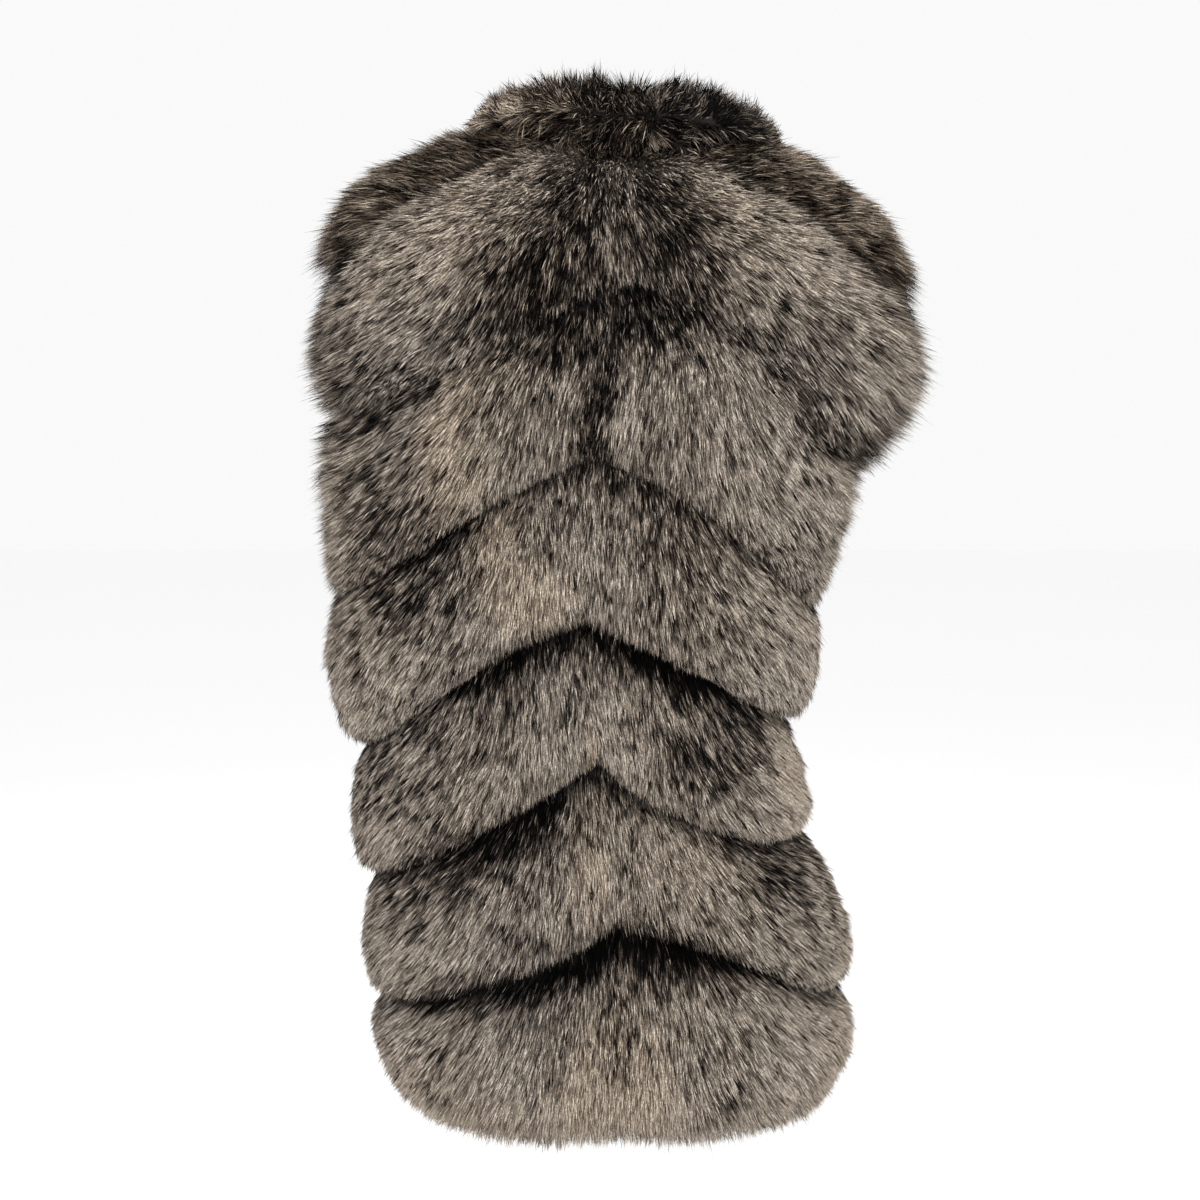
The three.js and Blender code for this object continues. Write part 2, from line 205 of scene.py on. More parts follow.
def heightToV(z, t):
    z, t = np.broadcast_arrays(np.asarray(z, float), np.asarray(t, float))
    low, high = np.full(z.shape, float(neckV)), np.full(z.shape, float(hemV))
    for _ in range(halvings):
        middle = (low + high) / 2
        above = skinPoint(middle, t)[..., 2] > z
        low, high = np.where(above, middle, low), np.where(above, high, middle)
    return (low + high) / 2


def armholeReach(v, t):
    return np.hypot((np.abs(t) - 90) / armhole["halfAngle"], (v - armhole["middleV"]) / armhole["halfV"])


def frontEdge(v):
    return 180 - ringValue("open", v)


def endOfCurve(curve, start, side):
    step = 1 if start < 90 else -1
    angles = np.arange(start, 90, step)
    inside = armholeReach(curve(side * angles), angles) < 1
    if not inside.any():
        return 90.0
    into = angles[inside.argmax()]
    out = into - step
    for _ in range(halvings):
        middle = (out + into) / 2
        if armholeReach(curve(side * middle), middle) < 1:
            into = middle
        else:
            out = middle
    return float(out)


def yokeSeamOf(side, front):
    height = yokeMeets[side, front]
    start = float(frontEdge(neckV)) if front else 0.0
    meets = endOfCurve(lambda t: heightToV(height, t), start, side)
    return dict(leaves=mix(start, meets, yokeShare), meets=meets,
                meetV=float(heightToV(height, side * meets)))


yokeSeams = {(side, front): yokeSeamOf(side, front) for side in (1, -1) for front in (False, True)}


def seamV(k, t, side, front):
    a = np.abs(t)
    if k > len(seams):
        return np.full(np.shape(t), float(hemV))
    if k == 0:
        seam = yokeSeams[side, front]
        share = (a - seam["leaves"]) / (seam["meets"] - seam["leaves"])
        return np.where(share <= 0, neckV, mix(neckV, seam["meetV"], share))
    seam = seams[k - 1]
    drop, bend = (seam["dropLeft"], seam["bendLeft"]) if side > 0 else (seam["dropRight"], seam["bendRight"])
    sine = np.clip(np.sin(np.radians(a)), 0, 1)
    if front:
        return heightToV(seam["apex"] - drop + seam["rise"] * (1 - sine), t)
    return heightToV(seam["apex"] - drop * sine ** bend, t)


def edgePulls(v, t):
    edge = frontEdge(v)
    nearArm = (v > pullReach["armTop"]) & (v < pullReach["armFoot"])
    return dict(
        arm=np.where(nearArm, 1 - smooth(armholeReach(v, t), 1, pullReach["armSizes"]), 0),
        hem=smooth(v, hemV - pullReach["hem"], hemV),
        collar=1 - smooth(v, 0, pullReach["collar"]),
        front=smooth(np.abs(t), edge - pullReach["front"], edge),
    )


# Directions down and round the surface at a place, the first taken over a stretch of v.
def tangents(v, t, wide):
    down = unit(skinPoint(np.minimum(v + wide, hemV), t) - skinPoint(np.maximum(v - wide, 0), t))
    around = unit(skinPoint(v, t + 2) - skinPoint(v, t - 2))
    return down, around


# Which way the fur's thickness goes: straight off the skin, and outward at the open edges.
def furDirection(v, t):
    down, around = tangents(v, t, mix(0.7, 0.15, smooth(v, 3, 4.6)))
    normal = unit(np.cross(around, down))
    pulls = edgePulls(v, t)
    most = np.maximum.reduce([
        pulls["arm"], pulls["hem"] * 0.75, pulls["collar"] * 0.6, pulls["front"] * 0.75,
    ])
    lean = coat["lie"] * smooth(v, neckV + 0.5, 4.2) - coat["collarLift"] * (1 - smooth(v, 1.2, 2.6))
    downShare = lean * (1 - most) + edgeLean["hem"] * pulls["hem"] - edgeLean["collar"] * pulls["collar"]
    outward, drop = np.sign(t) * edgeLean["arm"] * pulls["arm"], -edgeLean["armDrop"] * pulls["arm"]
    sideways = np.stack([outward, 0 * v, drop], -1)
    forward = np.sign(t) * edgeLean["front"] * pulls["front"]
    return unit(normal * (1 - 0.85 * most)[..., None] + down * downShare[..., None] + sideways
                + around * forward[..., None])


def depthOfFur(v, t, fullness, crownDepth, seamShare=1.0):
    pulls = edgePulls(v, t)
    seamDepth = mix(coat["neckDepth"], coat["valleyDepth"], smooth(v, neckV, neckV + 1.5)) * seamShare
    groove = 1 - coat["groove"] * np.exp(-((np.abs(t) / coat["grooveWidth"]) ** 2))
    armFur = coat["armholeFur"] * (1 - coat["underarmFur"] * smooth(v, 5.6, 7.2))
    depth = coat["furDepth"]
    atEdge = (1 + pulls["arm"] * (armFur / depth - 1)
              + pulls["hem"] * (coat["hemFur"] / depth - 1)
              + pulls["collar"] * (coat["collarFur"] / depth - 1)
              + pulls["front"] * (coat["frontFur"] / depth - 1))
    return mix(seamDepth, crownDepth, fullness) * groove * np.clip(atEdge, 0.35, 1.4)


# How full a piece is from its seams, 0, to its crown, 1.
def swell(share):
    return np.sin(np.pi / 2 * np.clip(share, 0, 1)) ** 0.75


def stripFullness(s, r):
    crown = coat["crownAt"]
    return np.where(s < crown, swell(s / crown), swell((1 - s) / (1 - crown)))


def hemFullness(s, r):
    return swell(s / 0.5)


def collarFullness(s, r):
    return swell((1 - s) / 0.35)


def yokeFullness(s, r):
    return 1.1 * swell(s / 0.45) * swell((1 - s) / 0.45) * swell(r / 0.4)


# Places on the armhole's oval, by an angle from its top.
def ovalPlace(side, front, angle):
    t = side * (90 + (1 if front else -1) * armhole["halfAngle"] * np.sin(angle))
    return armhole["middleV"] - armhole["halfV"] * np.cos(angle), t


def ovalAngle(v, t):
    return math.atan2(abs(abs(t) - 90) / armhole["halfAngle"], (armhole["middleV"] - v) / armhole["halfV"])


# The places of a strip: s runs from its upper seam to its lower one, r from the centre line to the side.
def stripPlaces(side, k, front, s, r):
    def seamCurve(n):
        curve = lambda t: seamV(n, t, side, front)
        start = 0.0
        if front:
            start = 173.0
            for _ in range(6):
                start = float(frontEdge(curve(np.array(side * start))))
        end = endOfCurve(curve, start, side)

        def along(share):
            t = side * np.maximum(1e-6, mix(start, end, share))
            return curve(t), t
        return along

    top, foot = seamCurve(k), seamCurve(k + 1)
    topEnd, footEnd = [[float(x) for x in curve(np.array(1.0))] for curve in (top, foot)]
    topStart, footStart = [[float(x) for x in curve(np.array(0.0))] for curve in (top, foot)]
    innerV = mix(topStart[0], footStart[0], s)
    innerT = side * (frontEdge(innerV) if front else 1e-6 + 0 * s)

    if abs(abs(topEnd[1]) - 90) < 0.01:
        outerV, outerT = mix(topEnd[0], footEnd[0], s), side * 90 + 0 * s
    elif abs(abs(footEnd[1]) - 90) < 0.01:
        onOval = ovalPlace(side, front, mix(ovalAngle(*topEnd), math.pi, np.minimum(s / underarmShare, 1)))
        lowest = armhole["middleV"] + armhole["halfV"]
        below = mix(lowest, footEnd[0], (s - underarmShare) / (1 - underarmShare))
        outerV = np.where(s <= underarmShare, onOval[0], below)
        outerT = np.where(s <= underarmShare, onOval[1], side * 90)
    else:
        outerV, outerT = ovalPlace(side, front, mix(ovalAngle(*topEnd), ovalAngle(*footEnd), s))

    places = []
    edges = zip(top(r), foot(r), (innerV, innerT), (outerV, outerT), topStart, topEnd, footStart, footEnd)
    for upper, lower, inner, outer, c00, c01, c10, c11 in edges:
        corners = mix(mix(c00, c01, r), mix(c10, c11, r), s)
        places.append(mix(upper, lower, s) + mix(inner, outer, r) - corners)
    return places


def yokePlaces(side, s, r):
    back, front = yokeSeams[side, False], yokeSeams[side, True]
    backAngle = ovalAngle(back["meetV"], back["meets"])
    frontAngle = ovalAngle(front["meetV"], front["meets"])
    neckT = mix(back["leaves"], front["leaves"], s)
    endV, endT = ovalPlace(side, True, mix(-backAngle, frontAngle, s))
    return mix(neckV, endV, r), mix(side * neckT, endT, r)


def collarPlaces(side, s, r):
    v = neckV * s
    return v, side * np.maximum(1e-6, r * frontEdge(v))


print("surface ready")

# The sewn pieces.
pieces = []
for hand, side in (("left", 1), ("right", -1)):
    for k in range(6):
        fullness = hemFullness if k == 5 else stripFullness
        for front in (False, True):
            name = f"{'front' if front else 'back'}_strip_{k + 1}_{hand}"
            pieces.append(dict(
                name=name, side=side, front=front, kind="strip", fullness=fullness,
                places=lambda s, r, side=side, k=k, front=front: stripPlaces(side, k, front, s, r)))
    pieces.append(dict(name=f"yoke_{hand}", side=side, front=False, kind="yoke", fullness=yokeFullness,
                       places=lambda s, r, side=side: yokePlaces(side, s, r)))
    pieces.append(dict(name=f"collar_{hand}", side=side, front=False, kind="collar", fullness=collarFullness,
                       places=lambda s, r, side=side: collarPlaces(side, s, r)))

# The fur of each kind of piece. strands is their number on one piece, length, width and crown are
# millimetres, and rows and columns are the grid they grow on. lift is how much they stand off the skin,
# wave and clump how much they wander, tufts how strong the dark specks are, and seamShare how deep the
# fur stays at the seams.
coats = dict(
    back=dict(strands=33000, length=19, width=0.8, lift=0.75, wave=0.8, clump=0.8, tufts=2.3,
              crown=36, seamShare=0.3, rows=24, columns=40),
    front=dict(strands=13200, length=20, width=1.5, lift=0.75, wave=0.8, clump=0.8, tufts=2.0,
               crown=36, seamShare=0.3, rows=20, columns=34),
    yoke=dict(strands=26000, length=23, width=0.9, lift=0.6, wave=1.0, clump=0.9, tufts=2.4,
              crown=38, seamShare=0.9, rows=24, columns=22),
    collar=dict(strands=28500, length=23, width=0.8, lift=0.6, wave=4.0, clump=2.4, tufts=2.3,
                crown=36, seamShare=1.0, rows=18, columns=46),
)


def kindOf(piece):
    return piece["kind"] if piece["kind"] != "strip" else ("front" if piece["front"] else "back")


def gridOf(rows, columns):
    return np.meshgrid(np.linspace(0, 1, rows), np.linspace(0, 1, columns), indexing="ij")


def gridFaces(rows, columns, start=0):
    j, i = np.meshgrid(np.arange(rows - 1), np.arange(columns - 1), indexing="ij")
    a = (start + j * columns + i).ravel()
    return np.stack([a, a + 1, a + columns + 1, a + columns], -1)


def rimOf(rows, columns):
    top = [(0, i) for i in range(columns - 1)]
    right = [(j, columns - 1) for j in range(rows - 1)]
    foot = [(rows - 1, i) for i in range(columns - 1, 0, -1)]
    left = [(j, 0) for j in range(rows - 1, 0, -1)]
    return np.array([j * columns + i for j, i in top + right + foot + left])


# Two grids and the wall round them. Faces point outward whichever side the piece is on.
def layeredMesh(name, inner, outer, flip, keepInner=True):
    rows, columns = inner.shape[:2]
    count = rows * columns
    rim = rimOf(rows, columns)
    nextRim = np.roll(rim, -1)
    wall = np.stack([rim, nextRim, nextRim + count, rim + count], -1)
    outside = gridFaces(rows, columns, count)
    faces = [outside[:, ::-1], wall[:, ::-1]]
    if keepInner:
        faces.append(gridFaces(rows, columns))
    faces = np.concatenate(faces)
    if flip:
        faces = faces[:, ::-1]
    mesh = bpy.data.meshes.new(name)
    points = np.concatenate([inner.reshape(-1, 3), outer.reshape(-1, 3)]) / 1000
    mesh.from_pydata(points.tolist(), [], faces.tolist())
    mesh.update()
    mesh.shade_smooth()
    return mesh


def addPiece(name, mesh, node):
    made = bpy.data.objects.new(name, mesh)
    scene.collection.objects.link(made)
    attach(made, "root")
    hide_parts(node)
    return made


# A smooth random field over points in millimetres, from a few seeded waves.
waveMaker = np.random.default_rng(7)
waves = [(waveMaker.normal(size=3), waveMaker.uniform(0, 6.3)) for _ in range(24)]


def field(points, size, first=0):
    total = 0
    for way, phase in waves[first:first + 8]:
        total = total + np.sin(points @ way / size + phase)
    return total / 4


# How the coat combs: down the body, and outward from the centre line towards the side.
def flowOf(piece, v, t):
    down, around = tangents(v, t, 0.15)
    outward = around * np.sign(t)[..., None]
    a = np.abs(t)
    if piece["kind"] == "collar":
        up = 0.35 - 0.6 * smooth(v, 0.8, 2) * smooth(a, 10, 50) - 0.9 * smooth(v, 0.9, 1.9)
        return outward * (0.85 * smooth(a, 4, 50))[..., None] - down * up[..., None]
    if piece["kind"] == "yoke":
        splay = np.clip((a - 90) / 45, -1, 1)
        return unit(down + outward * (0.35 * splay)[..., None])
    if piece["front"]:
        outward = -outward
        lean = 0.55 * smooth(180 - a, 4, 45) * (1 - 0.8 * smooth(180 - a, 60, 90))
    else:
        lean = mix(1.45, 0.85, smooth(v, 3.5, 8)) * smooth(a, 0, 50) * (1 - 0.6 * smooth(a, 68, 92))
    return unit(down + outward * lean[..., None])


# Marks on the coat, and painted shade: the rows marked below, at a strip's very top or foot, paint the
# shadow in the valley between two strips. Shade goes from 0, near black, to 1, pale. Each row is the mark's
# place along the piece from the centre line and down it, its reach along and down, and the change of shade
# and of warmth.
shadePatches = dict(
    back_strip_1_left=[
        (0.07, 0.66, 0.18, 0.42, -0.36, 0.2),
        # painted shadow in the valley under this strip's lower edge
        (0.5, 0.95, 0.6, 0.25, -0.1, 0.0),
        (0.16, 0.1, 0.08, 0.12, 0.12, 0.3),
        (0.04, 0.12, 0.16, 0.18, -0.18, 0.3),
        (0.54, 0.22, 0.16, 0.2, -0.2, 0.0),
        (0.68, 0.5, 0.1, 0.15, 0.14, 0.2),
        (0.97, 0.5, 0.12, 0.4, -0.18, 0.0),
        (0.22, 0.9, 0.12, 0.25, -0.16, 0.0),
        (0.42, 0.5, 0.14, 0.25, 0.1, 0.25),
        (0.75, 0.4, 0.3, 0.3, 0.03, 0.2),
        (0.85, 0.85, 0.2, 0.3, -0.14, 0.0),
    ],
    back_strip_1_right=[
        (0.16, 0.66, 0.18, 0.34, -0.42, 0.2),
        # painted shadow in the valley under this strip's lower edge
        (0.5, 0.97, 0.6, 0.25, -0.12, 0.0),
        (0.42, 0.18, 0.2, 0.18, -0.24, 0.0),
        (0.14, 0.08, 0.2, 0.14, -0.24, 0.5),
        (0.58, 0.54, 0.1, 0.15, 0.14, 0.2),
        (0.85, 0.3, 0.12, 0.2, 0.12, 0.2),
        (0.95, 0.2, 0.12, 0.4, -0.1, 0.0),
        (0.36, 0.45, 0.11, 0.3, 0.16, 0.35),
        (0.62, 0.45, 0.22, 0.3, 0.08, 0.1),
        (0.85, 0.9, 0.2, 0.3, -0.14, 0.0),
    ],
    back_strip_2_left=[
        (0.05, 0.1, 0.14, 0.3, -0.3, 0.0),
        (0.44, 0.15, 0.07, 0.18, 0.24, 0.9),
        (0.35, 0.42, 0.07, 0.2, 0.26, 0.9),
        (0.26, 0.72, 0.08, 0.22, 0.2, 0.8),
        (0.64, 0.5, 0.16, 0.45, -0.14, 0.0),
        (0.45, 0.85, 0.2, 0.2, -0.2, 0.0),
        (0.2, 0.25, 0.06, 0.35, 0.1, 0.2),
        (0.0, 0.7, 0.02, 0.32, -0.6, 0.0),
        (0.34, 0.12, 0.08, 0.2, 0.1, 0.5),
        (0.46, 0.6, 0.1, 0.2, -0.2, 0.0),
    ],
    back_strip_2_right=[
        (0.05, 0.12, 0.12, 0.3, -0.26, 0.0),
        (0.0, 0.7, 0.02, 0.32, -0.6, 0.0),
        (0.45, 0.35, 0.3, 0.4, 0.16, 0.1),
        (0.82, 0.12, 0.14, 0.2, 0.26, 0.2),
    ],
    back_strip_3_left=[
        (0.4, 0.1, 0.18, 0.25, -0.3, 0.0),
        (0.2, 0.2, 0.055, 0.18, 0.2, 0.8),
        (0.14, 0.48, 0.065, 0.22, 0.26, 1.0),
        (0.07, 0.7, 0.07, 0.18, 0.14, 0.8),
        # painted shadow in the valley under this strip's lower edge
        (0.1, 0.97, 0.16, 0.14, -0.42, 0.0),
        (0.18, 0.04, 0.06, 0.14, 0.16, 0.6),
        (0.7, 0.6, 0.25, 0.4, 0.08, 0.3),
    ],
    back_strip_3_right=[
        (0.22, 0.38, 0.16, 0.32, -0.08, 0.0),
        (0.66, 0.35, 0.27, 0.5, 0.22, 0.15),
        (0.72, 0.14, 0.16, 0.2, 0.22, 0.2),
        # painted shadow in the valley under this strip's lower edge
        (0.05, 0.99, 0.14, 0.1, -0.3, 0.3),
    ],
    back_strip_4_left=[
        # painted shadow in the valley along this strip's upper seam
        (0.1, 0.03, 0.25, 0.08, -0.45, 0.0),
        (0.5, 0.25, 0.25, 0.2, -0.06, 0.0),
        (0.22, 0.7, 0.12, 0.28, 0.1, 0.1),
        # painted shadow in the valley under this strip's lower edge
        (0.55, 0.97, 0.3, 0.16, -0.32, 0.0),
        (0.0, 0.8, 0.025, 0.3, -0.05, 0.9),
    ],
    back_strip_4_right=[
        # painted shadow in the valley along this strip's upper seam
        (0.16, 0.03, 0.24, 0.1, -0.6, 0.0),
        (0.22, 0.5, 0.08, 0.22, -0.32, 0.0),
        (0.38, 0.28, 0.1, 0.22, -0.26, 0.0),
        (0.52, 0.2, 0.07, 0.18, -0.3, 0.0),
        (0.06, 0.45, 0.05, 0.3, 0.1, 0.1),
        (0.72, 0.3, 0.22, 0.6, 0.4, 0.5),
    ],
    back_strip_5_left=[
        (0.28, 0.12, 0.24, 0.2, -0.4, 0.0),
        (0.03, 0.45, 0.05, 0.3, 0.16, 0.7),
        (0.75, 0.08, 0.2, 0.15, -0.14, 0.0),
        # painted shadow in the valley under this strip's lower edge
        (0.4, 0.97, 0.28, 0.17, -0.56, 0.0),
    ],
    back_strip_5_right=[
        # painted shadow in the valley under this strip's lower edge
        (0.14, 0.96, 0.2, 0.18, -0.54, 0.0),
        (0.24, 0.25, 0.18, 0.25, 0.18, 0.35),
        (0.5, 0.2, 0.13, 0.2, -0.34, 0.0),
        (0.82, 0.7, 0.12, 0.2, 0.14, 0.2),
    ],
    back_strip_6_left=[
        # these two rows: painted shadow in the valley along this strip's upper seam
        (0.08, 0.04, 0.2, 0.13, -0.7, 0.0),
        (0.55, 0.0, 0.35, 0.05, -0.5, 0.0),
        (0.55, 0.16, 0.3, 0.08, 0.1, 0.0),
        (0.22, 0.3, 0.1, 0.16, 0.1, 0.0),
        (0.4, 0.62, 0.06, 0.08, -0.2, 0.0),
        (0.06, 0.6, 0.07, 0.35, 0.08, 0.8),
        (0.0, 0.5, 0.015, 0.22, -0.26, 0.9),
    ],
    back_strip_6_right=[
        # these two rows: painted shadow in the valley along this strip's upper seam
        (0.08, 0.04, 0.16, 0.13, -0.7, 0.0),
        (0.4, 0.0, 0.25, 0.05, -0.4, 0.0),
        (0.6, 0.16, 0.3, 0.08, 0.1, 0.0),
        (0.62, 0.3, 0.3, 0.3, 0.22, 0.2),
        (0.82, 0.25, 0.1, 0.2, 0.1, 0.2),
        (0.05, 0.6, 0.06, 0.3, 0.06, 0.7),
        (0.26, 0.72, 0.035, 0.05, -0.9, 0.0),
        (0.0, 0.5, 0.015, 0.22, -0.26, 0.9),
    ],
    collar_left=[
        (0.06, 0.3, 0.15, 0.6, -0.3, -0.2),
        (0.0, 0.75, 0.16, 0.35, -0.2, 0.2),
        (0.3, 0.6, 0.2, 0.4, 0.12, 0.4),
    ],
    collar_right=[
        (0.22, 0.4, 0.24, 0.6, -0.32, -0.4),
        (0.0, 0.75, 0.16, 0.35, -0.16, 0.4),
        (0.42, 0.9, 0.1, 0.3, 0.16, 0.5),
    ],
    yoke_left=[
        (0.22, 0.12, 0.1, 0.1, -0.36, -0.3),
        (0.44, 0.2, 0.15, 0.1, -0.18, 0.0),
        (0.94, 0.1, 0.12, 0.16, -0.28, -0.3),
        (0.35, 0.48, 0.22, 0.14, 0.24, 0.2),
        (0.7, 0.44, 0.2, 0.15, 0.2, 0.2),
    ],
    yoke_right=[
        (0.25, 0.08, 0.12, 0.1, -0.24, -0.2),
        (0.5, 0.1, 0.2, 0.12, -0.06, 0.0),
        (0.94, 0.08, 0.12, 0.16, -0.28, -0.3),
        (0.3, 0.44, 0.2, 0.14, 0.22, 0.2),
        (0.7, 0.4, 0.2, 0.16, 0.16, 0.2),
    ],
)
baseShades = dict(strip=0.56, yoke=0.58, collar=0.5)
baseWarmth = dict(strip=0.33, yoke=0.95, collar=0.7)


def shadeOf(piece, s, r, points):
    kind = piece["kind"]
    shade = baseShades[kind] + 0.06 * field(points, 34) + 0.04 * field(points, 12, 8)
    warmth = baseWarmth[kind] + 0.2 * field(points, 48, 16)
    if kind == "strip":
        # painted shade: a dark band right at the upper seam, in the valley under the overhang of the strip
        # above, and a slight darkening at the lower edge over the next valley; the rise between them is the
        # coat's own paler lower hair
        shade = shade - 0.18 * (1 - smooth(s, 0, 0.1)) + 0.13 * smooth(s, 0, 0.22)
        shade = shade + 0.07 * smooth(s, 0.3, 0.8) - 0.07 * smooth(s, 0.82, 1)
    if piece["fullness"] is hemFullness:
        shade, warmth = shade + 0.14 * smooth(s, 0.4, 1), warmth + 0.3 * smooth(s, 0.3, 1)
    for along, down, reachAlong, reachDown, change, warm in shadePatches.get(piece["name"], []):
        weight = np.exp(-((r - along) / reachAlong) ** 2 - ((s - down) / reachDown) ** 2)
        shade, warmth = shade + change * weight, warmth + warm * weight
    return np.clip(shade, 0, 1), np.clip(warmth, 0, 1)


def addNode(tree, kind, inputs=None, **settings):
    made = tree.nodes.new(kind)
    for key, value in settings.items():
        setattr(made, key, value)
    for key, value in (inputs or {}).items():
        if isinstance(value, bpy.types.NodeSocket):
            tree.links.new(value, made.inputs[key])
        else:
            made.inputs[key].default_value = value
    return made


def setRamp(ramp, stops):
    elements = ramp.color_ramp.elements
    while len(elements) < len(stops):
        elements.new(0.5)
    for element, (place, colour) in zip(elements, stops):
        element.position, element.color = place, (*colour, 1)


def makeCoatMaterial():
    material = bpy.data.materials.new("foxHair")
    material.use_nodes = True
    tree = material.node_tree
    shader = tree.nodes["Principled BSDF"]
    colour = addNode(tree, "ShaderNodeAttribute", attribute_name="coatColour").outputs["Color"]
    place = addNode(tree, "ShaderNodeTexCoord").outputs["Object"]
    speckle = {"Vector": place, "Scale": 620.0, "Detail": 1.0}
    noise = addNode(tree, "ShaderNodeTexNoise", speckle).outputs["Fac"]
    grain = addNode(tree, "ShaderNodeMapRange", {"Value": noise, "From Min": 0.3, "From Max": 0.7,
                                                 "To Min": 0.45, "To Max": 1.35}).outputs[0]
    mottled = addNode(tree, "ShaderNodeVectorMath", {0: colour, "Scale": grain}, operation="SCALE")
    tree.links.new(mottled.outputs[0], shader.inputs["Base Color"])
    shader.inputs["Roughness"].default_value = 0.6
    shader.inputs["Specular IOR Level"].default_value = 0.05
    return material


def makeUnderfurMaterial():
    material = bpy.data.materials.new("foxUnderfur")
    material.use_nodes = True
    tree = material.node_tree
    shader = tree.nodes["Principled BSDF"]
    place = addNode(tree, "ShaderNodeTexCoord").outputs["Object"]
    shade = addNode(tree, "ShaderNodeAttribute", attribute_name="shade").outputs["Fac"]
    tufts = addNode(tree, "ShaderNodeTexNoise", {"Vector": place, "Scale": 260.0, "Detail": 3.0})
    blend = addNode(tree, "ShaderNodeMath", {0: tufts.outputs["Fac"], 1: shade}, operation="MULTIPLY")
    ramp = addNode(tree, "ShaderNodeValToRGB", {"Fac": blend.outputs[0]})
    setRamp(ramp, [(0.0, (0.008, 0.007, 0.007)), (0.2, (0.03, 0.025, 0.022)), (0.55, (0.16, 0.13, 0.11))])
    tree.links.new(ramp.outputs["Color"], shader.inputs["Base Color"])
    bump = addNode(tree, "ShaderNodeBump",
                   {"Height": tufts.outputs["Fac"], "Strength": 0.8, "Distance": 0.004})
    tree.links.new(bump.outputs["Normal"], shader.inputs["Normal"])
    shader.inputs["Roughness"].default_value = 0.95
    shader.inputs["Specular IOR Level"].default_value = 0.1
    return material


def makePeltMaterial():
    material = bpy.data.materials.new("peltSkinSide")
    material.use_nodes = True
    tree = material.node_tree
    shader = tree.nodes["Principled BSDF"]
    place = addNode(tree, "ShaderNodeTexCoord").outputs["Object"]
    cloud = addNode(tree, "ShaderNodeTexNoise", {"Vector": place, "Scale": 22.0, "Detail": 4.0})
    nap = addNode(tree, "ShaderNodeTexNoise", {"Vector": place, "Scale": 900.0, "Detail": 2.0})
    ramp = addNode(tree, "ShaderNodeValToRGB", {"Fac": cloud.outputs["Fac"]})
    setRamp(ramp, [(0.3, (0.21, 0.165, 0.125)), (0.5, (0.28, 0.22, 0.17)), (0.72, (0.34, 0.28, 0.22))])
    tree.links.new(ramp.outputs["Color"], shader.inputs["Base Color"])
    bump = addNode(tree, "ShaderNodeBump",
                   {"Height": nap.outputs["Fac"], "Strength": 0.35, "Distance": 0.0008})
    tree.links.new(bump.outputs["Normal"], shader.inputs["Normal"])
    shader.inputs["Roughness"].default_value = 0.92
    shader.inputs["Specular IOR Level"].default_value = 0.2
    return material


hairMaterial, underfurMaterial = makeCoatMaterial(), makeUnderfurMaterial()
peltMaterial = makePeltMaterial()
print("materials made")


# A fine hair is one long triangle. A guard hair is widest past its middle, and can bend there. Both are one
# unit long and wide, and each strand's own size scales them.
def makeBlades():
    blades = bpy.data.collections.new("hairBlades")
    fine = ([(-0.55, 0, 0), (0.55, 0, 0), (0, 0, 0.95)], [(0, 1, 2)], [0, 0, 1])
    guard = ([(0, 0, 0), (-0.55, 0, 0.62), (0.55, 0, 0.62), (0, 0, 1.1)],
             [(0, 2, 1), (1, 2, 3)], [0, 0.6, 0.6, 1])
    for name, (points, faces, alongs) in (("fineHair", fine), ("guardHair", guard)):
        mesh = bpy.data.meshes.new(name)
        mesh.from_pydata(points, [], faces)
        along = mesh.attributes.new("along", "FLOAT", "POINT")
        along.data.foreach_set("value", alongs)
        blades.objects.link(bpy.data.objects.new(name, mesh))
    return blades


# What every coat's strands share. Sizes are metres. Flecks are single pale hairs, wisps long fine ones.
strandLook = dict(
    waveSize=0.03, clumpSize=0.0085, tuftSize=0.0031, tuftDraw=0.7, cloudSize=0.016,
    fleckAbove=0.92, fleckShade=0.24, wispAbove=0.96, wispShade=0.1, wispLonger=0.35, wispThinner=0.4,
    guardShade=-0.06, darkLonger=1.07, paleShorter=0.94, droopAlong=0.25,
)
coolStops = [(0.26, (0.002, 0.002, 0.002)), (0.4, (0.03, 0.026, 0.023)), (0.52, (0.18, 0.152, 0.128)),
             (0.7, (0.39, 0.335, 0.28)), (0.95, (0.6, 0.53, 0.46))]
tanStops = [(0.26, (0.003, 0.0022, 0.0018)), (0.4, (0.042, 0.028, 0.02)), (0.52, (0.22, 0.165, 0.12)),
            (0.7, (0.47, 0.375, 0.285)), (0.95, (0.68, 0.58, 0.46))]


